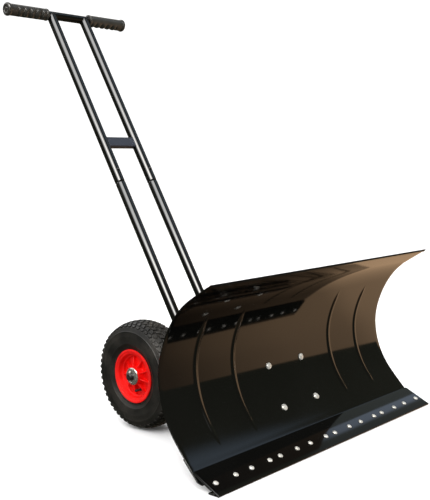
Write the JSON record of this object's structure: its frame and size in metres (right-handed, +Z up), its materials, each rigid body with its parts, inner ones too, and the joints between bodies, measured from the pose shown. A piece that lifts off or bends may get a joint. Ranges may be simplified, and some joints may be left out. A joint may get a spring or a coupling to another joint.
{
  "type": "wheeled snow shovel",
  "caption": "Curved snow-pusher blade with a bolted wear strip, swivelling on a two-wheeled push frame with a tall twin-tube handle and cross grips.",
  "frame": {"origin": "on the ground, under the middle of the whole object's box", "axes": "+Z up; +X along the blade and the axle; the blade faces -Y and the handle leans back towards +Y"},
  "size_m": [0.74, 0.8904, 1.0125],
  "materials": {
    "black_paint": "gloss black powder coat",
    "slate_paint": "satin slate paint",
    "zinc": "zinc plated, slightly dull",
    "dark_steel": "oiled dark steel",
    "tyre_rubber": "matte black rubber with a knobby tread",
    "red_plastic": "satin moulded red plastic",
    "black_plastic": "moulded black plastic",
    "bearing_bronze": "sintered bronze",
    "grip_rubber": "matte dark olive-grey rubber"
  },
  "bodies": {
    "frame": {"axle_tube": "black_paint", "axle": "dark_steel", "draw_bar": "black_paint", "cross_member": "black_paint", "pivot_barrel": "black_paint", "clamp_bolt": "zinc", "lower_tube_left": "black_paint", "lower_tube_right": "black_paint", "axle_spacer_left": "zinc", "axle_spacer_right": "zinc", "hub_washer_left": "zinc", "hub_washer_right": "zinc", "cotter_pin_left": "zinc", "cotter_pin_right": "zinc", "upper_tube_left": "black_paint", "upper_tube_right": "black_paint", "crossbar": "black_paint", "cross_brace": "slate_paint", "grip_left": "grip_rubber", "grip_right": "grip_rubber"},
    "blade": {"blade_sheet": "black_paint", "wear_strip": "black_paint", "lower_stiffener": "black_paint", "strip_bolt_01": "zinc", "strip_bolt_02": "zinc", "strip_bolt_03": "zinc", "strip_bolt_04": "zinc", "strip_bolt_05": "zinc", "strip_bolt_06": "zinc", "strip_bolt_07": "zinc", "strip_bolt_08": "zinc", "strip_bolt_09": "zinc", "strip_bolt_10": "zinc", "strip_bolt_11": "zinc", "strip_bolt_12": "zinc", "strip_bolt_13": "zinc", "strip_bolt_14": "zinc", "strip_bolt_15": "zinc", "strip_bolt_16": "zinc", "pivot_bracket": "black_paint", "centre_bolt_lower_left": "zinc", "centre_bolt_lower_right": "zinc", "centre_bolt_upper_left": "zinc", "centre_bolt_upper_right": "zinc", "sector_plate": "black_paint", "pivot_ear": "black_paint", "pivot_bolt": "zinc", "pivot_nut": "zinc"},
    "wheel_left": {"tyre_left": "tyre_rubber", "rim_left": "red_plastic", "hub_bush_left": "bearing_bronze", "valve_stem_left": "black_plastic"},
    "wheel_right": {"tyre_right": "tyre_rubber", "rim_right": "red_plastic", "hub_bush_right": "bearing_bronze", "valve_stem_right": "black_plastic"},
    "button_left": {"snap_button_left": "dark_steel"},
    "button_right": {"snap_button_right": "dark_steel"},
    "knob": {"clamp_knob": "black_plastic"}
  },
  "joints": [
    {"name": "blade_yaw", "type": "hinge", "parent": "frame", "child": "blade", "pos_m": [0, -0.24484, 0.125], "axis": [0, 0, 1], "range_deg": [-30, 30]},
    {"name": "wheel_left_spin", "type": "hinge", "parent": "frame", "child": "wheel_left", "pos_m": [-0.174, -0.03484, 0.122], "axis": [1, 0, 0], "continuous": true},
    {"name": "wheel_right_spin", "type": "hinge", "parent": "frame", "child": "wheel_right", "pos_m": [0.174, -0.03484, 0.122], "axis": [1, 0, 0], "continuous": true},
    {"name": "button_left_press", "type": "slide", "parent": "frame", "child": "button_left", "axis": [0, 0.864, -0.5034], "range_m": [0, 0.0044], "stiffness_N_per_m": 900},
    {"name": "button_right_press", "type": "slide", "parent": "frame", "child": "button_right", "axis": [0, 0.864, -0.5034], "range_m": [0, 0.0044], "stiffness_N_per_m": 900},
    {"name": "clamp_knob_turn", "type": "hinge", "parent": "frame", "child": "knob", "pos_m": [0, -0.17484, 0.16], "axis": [0, 0, 1], "range_deg": [0, 270]}
  ]
}
